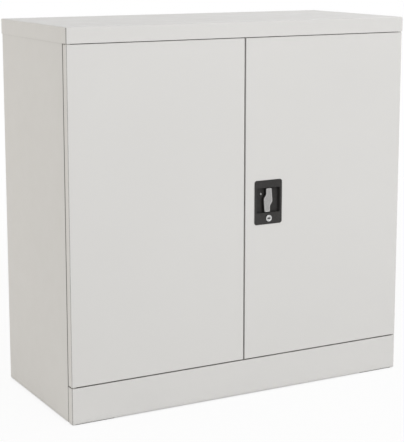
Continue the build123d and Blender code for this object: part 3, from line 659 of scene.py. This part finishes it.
def roundBar(name, radius, sides, backY, frontY, centre):
    objectMode()
    bpy.ops.mesh.primitive_cylinder_add(
        vertices=sides,
        radius=radius,
        depth=backY - frontY,
        location=(centre[0], (backY + frontY) / 2, centre[1]),
        rotation=(radians(90), 0, 0),
    )
    return startPiece(name)


def combine(piece, tool, operation):
    pickOnly(piece)
    step = piece.modifiers.new("combine", "BOOLEAN")
    step.operation = operation
    step.object = tool
    step.solver = "EXACT"
    bpy.ops.object.modifier_apply(modifier=step.name)
    bpy.data.objects.remove(tool)


smoothBelow = radians(38)  # sharper corners stay crisp


def softenEdges(piece, width, segments, angle=32):
    outwardFaces(piece)
    edges = piece.modifiers.new("softEdges", "BEVEL")
    edges.width = width
    edges.segments = segments
    edges.limit_method = "ANGLE"
    edges.angle_limit = radians(angle)
    bpy.ops.object.modifier_apply(modifier=edges.name)
    bpy.ops.object.shade_smooth_by_angle(angle=smoothBelow)


def finishPiece(piece, body, slot, *nodes):
    piece.data.materials.clear()
    piece.data.materials.append(finishes[slot])
    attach(piece, body)
    if nodes:
        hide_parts(*nodes)


def copyPiece(piece, name, shift):
    twin = piece.copy()
    twin.data = piece.data.copy()
    twin.name = name
    bpy.context.scene.collection.objects.link(twin)
    pickOnly(twin)
    pickAll()
    bpy.ops.transform.translate(value=shift)
    objectMode()
    return twin


def middleOf(low, high):
    return (low.x + high.x) / 2, (low.z + high.z) / 2


# handle plate: a grained moulding with a rim, a drafted finger pocket and a tub behind the door
handlePlate = {
    "corner": 0.006,
    "rim": 0.0024,
    "rimDepth": 0.00022,
    "pocketSize": (0.065, 0.061),
    "pocketRise": 0.0045,
    "pocketDepth": 0.010,
    "pocketCorner": 0.004,
    "draft": 0.0007,
    "wall": 0.0015,
    "proud": 0.001,
    "boreRadius": 0.0065,
    "bossWall": 0.0025,
    "moatDepth": 0.0006,
    "edge": 0.00035,
}


def makeHandlePlate(look):
    low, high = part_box("handle_bezel")
    lockLow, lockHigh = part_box("lock_barrel")
    plateAt, lockAt = middleOf(low, high), middleOf(lockLow, lockHigh)
    plateSize = (high.x - low.x, high.z - low.z)
    pocketAt = (plateAt[0], plateAt[1] + look["pocketRise"])
    aheadY, seamY, skinY = low.y - look["proud"], low.y + look["proud"] / 2, low.y + look["proud"]
    plate = roundedSlab("handlePlate", plateSize, look["corner"], 8, skinY, low.y, plateAt)
    tubSize = tuple(side + 2 * look["wall"] for side in look["pocketSize"])
    tub = roundedSlab("tub", tubSize, look["pocketCorner"] + look["wall"], 8, high.y, seamY, pocketAt)
    combine(plate, tub, "UNION")
    bossRadius = look["boreRadius"] + look["bossWall"]
    boss = roundBar("boss", bossRadius, 48, high.y - look["proud"], seamY, lockAt)
    combine(plate, boss, "UNION")
    fieldSize = tuple(side - 2 * look["rim"] for side in plateSize)
    fieldCorner = look["corner"] - look["rim"]
    field = roundedSlab("field", fieldSize, fieldCorner, 6, low.y + look["rimDepth"], aheadY, plateAt)
    combine(plate, field, "DIFFERENCE")
    floorY = low.y + look["pocketDepth"]
    pocket = roundedSlab("pocket", look["pocketSize"], look["pocketCorner"], 8, floorY, aheadY, pocketAt)
    pickParts(pocket, "FACE", lambda face: face.normal.y > 0.9)  # the floor is drawn in by the draft
    narrowing = [1 - 2 * look["draft"] / side for side in look["pocketSize"]]
    bpy.ops.transform.resize(
        value=(narrowing[0], 1, narrowing[1]),
        center_override=(pocketAt[0], floorY, pocketAt[1]),
    )
    combine(plate, pocket, "DIFFERENCE")
    moat = roundBar("moat", bossRadius, 48, low.y + look["moatDepth"], aheadY, lockAt)
    combine(plate, moat, "DIFFERENCE")
    bore = roundBar("bore", look["boreRadius"], 48, high.y, aheadY, lockAt)
    combine(plate, bore, "DIFFERENCE")
    softenEdges(plate, look["edge"], 3)
    finishPiece(plate, "right_door", "black_moulding", "handle_bezel")


makeHandlePlate(handlePlate)


# turn lever: two tapering lobes, a raised rim round its face and a boss into the pocket's floor
# each row gives its height in half lengths, then its left and its right edge from the middle
turnLever = {
    "thickness": 0.0055,
    "rows": [
        (-1.0, -0.0096, 0.0054),
        (-0.477, -0.01075, 0.0054),
        (-0.133, -0.01151, 0.0121),
        (0.133, -0.0121, 0.01151),
        (0.477, -0.0054, 0.01075),
        (1.0, -0.0054, 0.0096),
    ],
    "cornerRound": 0.0022,
    "rim": 0.0008,
    "slope": 0.0005,
    "hollow": 0.0005,
    "edge": 0.0009,
    "bossRadius": 0.009,
}


def makeTurnLever(look):
    low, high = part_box("lever")
    midX, midZ = middleOf(low, high)
    halfLength = (high.z - low.z) / 2
    backY = low.y + look["thickness"]
    lever = uprightSheet("turnLever", (high.x - low.x, 2 * halfLength), backY, (midX, midZ))
    for row in look["rows"][1:-1]:
        pickAll()
        bpy.ops.mesh.bisect(plane_co=(midX, backY, midZ + row[0] * halfLength), plane_no=(0, 0, 1))
    for height, left, right in look["rows"]:
        rowZ = midZ + height * halfLength
        for side, edgeX, target in ((-1, low.x, left), (1, high.x, right)):
            pickParts(
                lever,
                "VERT",
                lambda corner: abs(corner.co.z - rowZ) < 1e-5 and side * (corner.co.x - midX) > 0,
            )
            bpy.ops.transform.translate(value=(midX + target - edgeX, 0, 0))
    pickParts(lever, "FACE", lambda face: True)
    bpy.ops.mesh.dissolve_faces()
    bpy.ops.mesh.bevel(offset=look["cornerRound"], segments=5, affect="VERTICES")
    pushFace(-look["thickness"])
    softenEdges(lever, look["edge"], 3, 40)
    frontFace(lever)
    bpy.ops.mesh.inset(thickness=look["rim"])
    bpy.ops.mesh.inset(thickness=look["slope"], depth=-look["hollow"])
    boss = roundBar("leverBoss", look["bossRadius"], 48, high.y, backY - look["thickness"] / 2, (midX, midZ))
    combine(lever, boss, "UNION")
    pickOnly(lever)
    bpy.ops.object.shade_smooth_by_angle(angle=smoothBelow)
    finishPiece(lever, "lever_turn", "satin_silver", "lever")


makeTurnLever(turnLever)


# lock: a stepped collar on a round body
lockCollar = {
    "collar": 0.0005,
    "bodyRadius": 0.0065,
    "step": 0.0011,
    "groove": 0.00012,
    "boreRadius": 0.0049,
    "edge": 0.00018,
}


def makeLockCollar(look):
    low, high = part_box("lock_barrel")
    at = middleOf(low, high)
    collar = roundBar("lockCollar", (high.x - low.x) / 2, 64, low.y + look["collar"], low.y, at)
    frontFace(collar)
    bpy.ops.mesh.inset(thickness=look["step"])
    bpy.ops.mesh.inset(thickness=look["groove"], depth=-look["groove"])
    bpy.ops.mesh.inset(thickness=look["step"] / 3)
    bpy.ops.mesh.inset(thickness=look["groove"], depth=look["groove"])
    body = roundBar("lockBody", look["bodyRadius"], 64, high.y, low.y + look["collar"] / 2, at)
    combine(collar, body, "UNION")
    bore = roundBar("lockBore", look["boreRadius"], 64, high.y + look["collar"], low.y - look["collar"], at)
    combine(collar, bore, "DIFFERENCE")
    softenEdges(collar, look["edge"], 3)
    finishPiece(collar, "right_door", "bright_chrome", "lock_barrel")


makeLockCollar(lockCollar)


# key plug: dished face, a keyway with a ward along one side, and a stepped tail
keyPlug = {
    "radius": 0.00485,
    "tailLength": 0.002,
    "tailRadius": 0.0035,
    "rim": 0.0007,
    "slope": 0.0005,
    "dish": 0.0002,
    "slot": (0.0074, 0.0022),
    "slotDepth": 0.009,
    "mouth": (0.0082, 0.0036),
    "mouthDepth": 0.0009,
    "roundShare": 0.42,
    "ward": 0.0007,
    "wardAside": 0.12,
    "wardShare": 0.3,
    "overcut": 0.001,
    "margin": 0.0001,
    "edge": 0.00012,
}


def makeKeyPlug(look):
    low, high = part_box("key_plug")
    at = middleOf(low, high)
    mouthEnd, slotEnd = low.y + look["mouthDepth"], low.y + look["slotDepth"]
    plug = roundBar("keyPlug", look["radius"], 64, high.y - look["tailLength"], low.y, at)
    frontFace(plug)
    bpy.ops.mesh.inset(thickness=look["rim"])
    bpy.ops.mesh.inset(thickness=look["slope"], depth=-look["dish"])
    tail = roundBar("plugTail", look["tailRadius"], 48, high.y, slotEnd + look["tailLength"], at)
    combine(plug, tail, "UNION")
    for name, size, segments, endY in (("mouth", look["mouth"], 5, mouthEnd), ("keyway", look["slot"], 4, slotEnd)):
        cutter = roundedSlab(name, size, size[1] * look["roundShare"], segments, endY, low.y - look["overcut"], at)
        combine(plug, cutter, "DIFFERENCE")
    wardAt = (at[0] + look["slot"][0] * look["wardAside"], at[1] + look["slot"][1] / 2)
    wardSize = (look["slot"][0] * look["wardShare"], look["ward"])
    ward = roundedSlab("ward", wardSize, look["ward"] * look["wardShare"], 2, slotEnd, mouthEnd, wardAt)
    combine(plug, ward, "UNION")
    softenEdges(plug, look["edge"], 2)
    finishPiece(plug, "key_cylinder", "bright_chrome", "key_plug")
    plug.data.materials.append(finishes["black_nylon"])  # painted shade: the keyway's inner faces take black nylon
    halfLength, halfWidth = look["mouth"][0] / 2 + look["margin"], look["mouth"][1] / 2 + look["margin"]
    for face in plug.data.polygons:
        across, up = abs(face.center.x - at[0]), abs(face.center.z - at[1])
        within = low.y + 2 * look["dish"] < face.center.y < slotEnd + look["margin"]
        if within and across < halfLength and up < halfWidth:
            face.material_index = 1


makeKeyPlug(keyPlug)
print("handle and lock modelled")


# crank behind the pocket: a flatted disc staked to the spindle, with two shouldered pins
driveCrank = {
    "discRadius": 0.018,
    "flat": 0.0135,
    "sheet": 0.002,
    "backToPinEnd": 0.0036,
    "spindleRadius": 0.005,
    "pinCircle": 0.012,
    "pinRadius": 0.0025,
    "pinAngle": 45.0,
    "shoulderShare": 1.5,
    "stake": 0.0003,
    "socketShare": 0.45,
    "wasteCorner": 0.00072,
    "edge": 0.00025,
}


def makeDriveCrank(look):
    low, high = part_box("lever_crank")
    axis = (high.x - look["discRadius"], high.z - look["discRadius"])
    backY = high.y - look["backToPinEnd"]
    frontY = backY - look["sheet"]
    crank = roundBar("driveCrank", look["discRadius"], 96, backY, frontY, axis)
    reach = 2 * look["discRadius"]
    beyond = look["flat"] + look["discRadius"]
    for at in ((axis[0] - beyond, axis[1]), (axis[0], axis[1] - beyond)):
        endY = backY + look["sheet"]
        waste = roundedSlab("waste", (reach, reach), look["wasteCorner"], 2, endY, frontY - look["sheet"], at)
        combine(crank, waste, "DIFFERENCE")
    rootY, stakeY = backY - look["sheet"] / 2, backY + look["stake"]
    spindle = roundBar("spindle", look["spindleRadius"], 48, rootY, low.y, axis)
    combine(crank, spindle, "UNION")
    stake = roundBar("stake", look["spindleRadius"], 48, stakeY, rootY, axis)
    combine(crank, stake, "UNION")
    socket = roundBar("socket", look["spindleRadius"] * look["socketShare"], 6, backY + look["sheet"], rootY, axis)
    combine(crank, socket, "DIFFERENCE")
    angle = radians(look["pinAngle"])
    for side in (-1, 1):
        arm = side * look["pinCircle"]
        at = (axis[0] + arm * cos(angle), axis[1] - arm * sin(angle))
        shoulder = roundBar("shoulder", look["pinRadius"] * look["shoulderShare"], 32, stakeY, rootY, at)
        combine(crank, shoulder, "UNION")
        pin = roundBar("pin", look["pinRadius"], 32, high.y, rootY, at)
        combine(crank, pin, "UNION")
    softenEdges(crank, look["edge"], 2)
    finishPiece(crank, "lever_turn", "plated_steel", "lever_crank")


makeDriveCrank(driveCrank)


# bolt guides: nylon blocks with a bell-mouthed slot and a lightening groove on their backs
boltGuide = {
    "size": (0.020, 0.016),
    "corner": 0.0022,
    "slot": (0.0125, 0.0035),
    "slotFromBack": 0.0035,
    "mouth": 0.0006,
    "groove": (0.011, 0.0022),
    "grooveDepth": 0.0006,
    "fromLever": 0.110,
    "edge": 0.0004,
}


def makeBoltGuides(look):
    low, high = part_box("bolt_guides")
    leverLow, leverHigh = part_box("lever")
    leverZ = middleOf(leverLow, leverHigh)[1]
    halfWide, halfHigh = look["size"][0] / 2, look["size"][1] / 2
    first = (high.x - halfWide, leverZ + look["fromLever"])
    block = roundedSlab("boltGuide1", look["size"], look["corner"], 5, high.y, low.y, first)
    slotY = high.y - look["slotFromBack"]
    for height, grow in ((3 * halfHigh, 0.0), (look["mouth"], look["mouth"])):
        for side in (-1, 1):
            bpy.ops.mesh.primitive_cube_add(size=1, location=(first[0], slotY, first[1] + side * halfHigh))
            bpy.context.object.scale = (look["slot"][0] + 2 * grow, look["slot"][1] + 2 * grow, height)
            combine(block, startPiece("slotCutter"), "DIFFERENCE")
    grooveEnds = (high.y + look["grooveDepth"], high.y - look["grooveDepth"])
    groove = roundedSlab("groove", look["groove"], look["groove"][1] / 3, 3, *grooveEnds, first)
    combine(block, groove, "DIFFERENCE")
    softenEdges(block, look["edge"], 3)
    finishPiece(block, "right_door", "white_nylon", "bolt_guides")
    others = (
        (high.x - halfWide, high.z - halfHigh),
        (low.x + halfWide, leverZ - look["fromLever"]),
        (low.x + halfWide, low.z + halfHigh),
    )
    for number, at in enumerate(others, start=2):
        twin = copyPiece(block, f"boltGuide{number}", (at[0] - first[0], 0, at[1] - first[1]))
        finishPiece(twin, "right_door", "white_nylon", "bolt_guides")


makeBoltGuides(boltGuide)


# magnetic catch: a housing round two pole plates, with the magnet between them set back
magnetCatch = {
    "corner": 0.0015,
    "poleProud": 0.0008,
    "poleShare": 0.72,
    "poleSheet": 0.0016,
    "poleGap": 0.0002,
    "magnet": 0.0052,
    "magnetGap": 0.0006,
    "setBack": 0.0004,
    "windowDepth": 0.006,
    "overcut": 0.002,
    "edge": 0.0005,
}


def makeMagnetCatch(look):
    low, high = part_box("door_catch")
    at = middleOf(low, high)
    faceY = low.y + look["poleProud"]
    floorY = faceY + look["windowDepth"]
    polesWide = (high.x - low.x) * look["poleShare"]
    stack = look["magnet"] + 2 * look["poleSheet"]
    housing = roundedSlab("magnetCatch", (high.x - low.x, high.z - low.z), look["corner"], 5, high.y, faceY, at)
    window = roundedSlab("window", (polesWide, stack), look["corner"] / 3, 3, floorY, low.y - look["overcut"], at)
    combine(housing, window, "DIFFERENCE")
    softenEdges(housing, look["edge"], 3)
    finishPiece(housing, "carcass", "black_nylon", "door_catch")
    poleSize = (polesWide - look["poleGap"], look["poleSheet"])
    for number, side in ((1, -1), (2, 1)):
        poleAt = (at[0], at[1] + side * (look["magnet"] + look["poleSheet"]) / 2)
        pole = roundedSlab(f"polePlate{number}", poleSize, look["poleSheet"] / 5, 3, floorY, low.y, poleAt)
        finishPiece(pole, "carcass", "plated_steel", "door_catch")
    magnetSize = (polesWide - look["magnetGap"], look["magnet"] - look["poleGap"])
    magnet = roundedSlab("magnet", magnetSize, look["corner"] / 4, 3, floorY, faceY + look["setBack"], at)
    finishPiece(magnet, "carcass", "black_rubber", "door_catch")


makeMagnetCatch(magnetCatch)
print("crank, guides and catch modelled")


# pan head with a cross recess, shank along Y; the head looks along the sign of facing
# all are shares of the head's radius, width or height
panScrew = {
    "crossLength": 0.62,
    "crossWidth": 0.17,
    "crossDepth": 0.55,
    "crossCorner": 0.3,
    "shank": 0.42,
    "shoulder": 0.12,
    "crown": 0.22,
    "crownRise": 0.10,
    "edge": 0.1,
}


def makePanScrew(name, look, headRadius, headHeight, shankLength, at, seatY, facing):
    topY = seatY + facing * headHeight
    head = roundBar(name, headRadius, 32, max(seatY, topY), min(seatY, topY), at)
    pickParts(head, "FACE", lambda face: face.normal.y * facing > 0.9)
    bpy.ops.mesh.inset(thickness=headRadius * look["shoulder"], depth=-headHeight * look["shoulder"])
    bpy.ops.mesh.inset(thickness=headRadius * look["crown"])
    bpy.ops.transform.translate(value=(0, facing * headHeight * look["crownRise"], 0))
    ends = (seatY - facing * shankLength, seatY + facing * headHeight / 2)
    shank = roundBar("shank", headRadius * look["shank"], 24, max(ends), min(ends), at)
    combine(head, shank, "UNION")
    arm = headRadius * 2 * look["crossLength"]
    width = headRadius * 2 * look["crossWidth"]
    ends = (topY - facing * headHeight * look["crossDepth"], topY + facing * headHeight)
    for size in ((arm, width), (width, arm)):
        cross = roundedSlab("cross", size, width * look["crossCorner"], 2, max(ends), min(ends), at)
        combine(head, cross, "DIFFERENCE")
    softenEdges(head, headHeight * look["edge"], 2, 50)
    return head


# back panel screws, four down each side
backScrews = {"headRadius": 0.004, "headHeight": 0.0014, "perSide": 4}


def makeBackScrews(look):
    low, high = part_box("back_screws")
    radius = look["headRadius"]
    columns = (low.x + radius, high.x - radius)
    firstZ, lastZ = low.z + radius, high.z - radius
    pitch = (lastZ - firstZ) / (look["perSide"] - 1)
    seatY = high.y - look["headHeight"]
    firstAt = (columns[0], firstZ)
    first = makePanScrew("backScrew1", panScrew, radius, look["headHeight"], seatY - low.y, firstAt, seatY, 1)
    finishPiece(first, "carcass", "plated_steel", "back_screws")
    shifts = [(columnX - columns[0], 0, row * pitch) for columnX in columns for row in range(look["perSide"])]
    for number, shift in enumerate(shifts[1:], start=2):
        screw = copyPiece(first, f"backScrew{number}", shift)
        finishPiece(screw, "carcass", "plated_steel", "back_screws")


makeBackScrews(backScrews)


# small bright screw in the left of the pocket's floor, where the photograph has a light mark
pocketScrew = {"headRadius": 0.0021, "headHeight": 0.0012, "shank": 0.0012, "fromCentre": (-0.0158, 0.0150)}


def makePocketScrew(look):
    low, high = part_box("handle_bezel")
    leverLow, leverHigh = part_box("lever")
    across, up = look["fromCentre"]
    at = (middleOf(low, high)[0] + across, middleOf(leverLow, leverHigh)[1] + up)
    floorY = low.y + handlePlate["pocketDepth"]
    radius, height = look["headRadius"], look["headHeight"]
    screw = makePanScrew("pocketScrew", panScrew, radius, height, look["shank"], at, floorY, -1)
    finishPiece(screw, "right_door", "plated_steel")


makePocketScrew(pocketScrew)
print("screws modelled")


# floor: white to the camera, with the cabinet's faint shadow kept and a painted contact shade near it
floorLook = {
    "size": 14.0,
    "colour": (0.80, 0.80, 0.79),
    "rough": 0.9,
    "shine": 0.1,
    "whiteShare": 0.93,
    "nearRadius": 1.2,
    "farRadius": 3.0,
    "contactReach": 0.03,
    "contactShare": 0.35,
    "openLow": 0.1,
    "openHigh": 0.6,
}


def makeFloor(look):
    bpy.ops.object.select_all(action="DESELECT")
    bpy.ops.mesh.primitive_plane_add(size=look["size"], location=(0, 0, 0))
    floor = bpy.context.object
    floor.name = "studioFloor"
    material, tree, shader, vector = startFinish("paleStudioFloor")
    setInputs(
        shader,
        {
            "Base Color": look["colour"] + (1.0,),
            "Roughness": look["rough"],
            "Specular IOR Level": look["shine"],
        },
    )
    seen = seenShare(tree, (-300, 500))
    reach = addNode(tree, "ShaderNodeVectorMath", (-300, 250), operation="LENGTH")
    tree.links.new(vector, reach.inputs[0])
    radii = (look["nearRadius"], look["farRadius"])
    whiteness = rangeOf(tree, (0, 250), reach.outputs["Value"], look["whiteShare"], 1.0, *radii)
    # painted contact shade: where an occlusion mask finds the cabinet close, the white share drops and more of the
    # floor's real shadow shows
    openness = addNode(tree, "ShaderNodeAmbientOcclusion", (-300, 0), samples=8)
    openness.inputs["Distance"].default_value = look["contactReach"]
    shares = (look["openLow"], look["openHigh"])
    uncovered = rangeOf(tree, (0, 0), openness.outputs["AO"], look["contactShare"], 1.0, *shares)
    whole = addNode(tree, "ShaderNodeMath", (250, 150), operation="MULTIPLY")
    tree.links.new(whiteness, whole.inputs[0])
    tree.links.new(uncovered, whole.inputs[1])
    share = addNode(tree, "ShaderNodeMath", (450, 400), operation="MULTIPLY")
    white = addNode(tree, "ShaderNodeEmission", (900, 300))
    mix = addNode(tree, "ShaderNodeMixShader", (1200, 200))
    wire(
        tree,
        (seen, "Value", share, 0),
        (whole, "Value", share, 1),
        (share, "Value", mix, "Fac"),
        (shader, "BSDF", mix, 1),
        (white, "Emission", mix, 2),
    )
    output = tree.nodes["Material Output"]
    output.location = (1500, 100)
    tree.links.new(mix.outputs["Shader"], output.inputs["Surface"])
    floor.data.materials.append(material)


makeFloor(floorLook)


# studio: an even pale world and three soft boxes
studio = {
    "ambient": 0.58,
    "boxes": [
        ("frontBox", (0.6, -4.3, 2.3), (0.0, 0.0, 0.5), 3.0, 2.2, 76.0, (1.0, 1.0, 1.0)),
        ("topBox", (1.9, -0.3, 2.2), (0.3, 0.0, 0.7), 1.2, 1.2, 11.0, (1.0, 1.0, 1.0)),
        ("leftBox", (-3.6, 1.2, 1.1), (-0.45, 0.0, 0.5), 1.8, 1.8, 23.0, (1.0, 0.90, 0.74)),
    ],
}


def makeStudio(setup):
    world = bpy.data.worlds.new("paleStudio")
    bpy.context.scene.world = world
    world.use_nodes = True
    tree = world.node_tree
    ambient = tree.nodes["Background"]
    setInputs(ambient, {"Color": (1.0, 1.0, 1.0, 1.0), "Strength": setup["ambient"]})
    white = addNode(tree, "ShaderNodeBackground", (0, -200))
    setInputs(white, {"Color": (1.0, 1.0, 1.0, 1.0), "Strength": 1.0})
    seen = seenShare(tree, (-600, 300))
    mix = addNode(tree, "ShaderNodeMixShader", (300, 0))
    wire(
        tree,
        (seen, "Value", mix, "Fac"),
        (ambient, "Background", mix, 1),
        (white, "Background", mix, 2),
    )
    tree.links.new(mix.outputs["Shader"], tree.nodes["World Output"].inputs["Surface"])
    for name, place, target, width, height, power, tint in setup["boxes"]:
        bpy.ops.object.light_add(type="AREA", location=place)
        lamp = bpy.context.object
        lamp.name = name
        lamp.data.shape = "RECTANGLE"
        lamp.data.size = width
        lamp.data.size_y = height
        lamp.data.energy = power
        lamp.data.color = tint
        lamp.rotation_euler = (Vector(target) - Vector(place)).to_track_quat("-Z", "Y").to_euler()


makeStudio(studio)
print("floor and lights set")
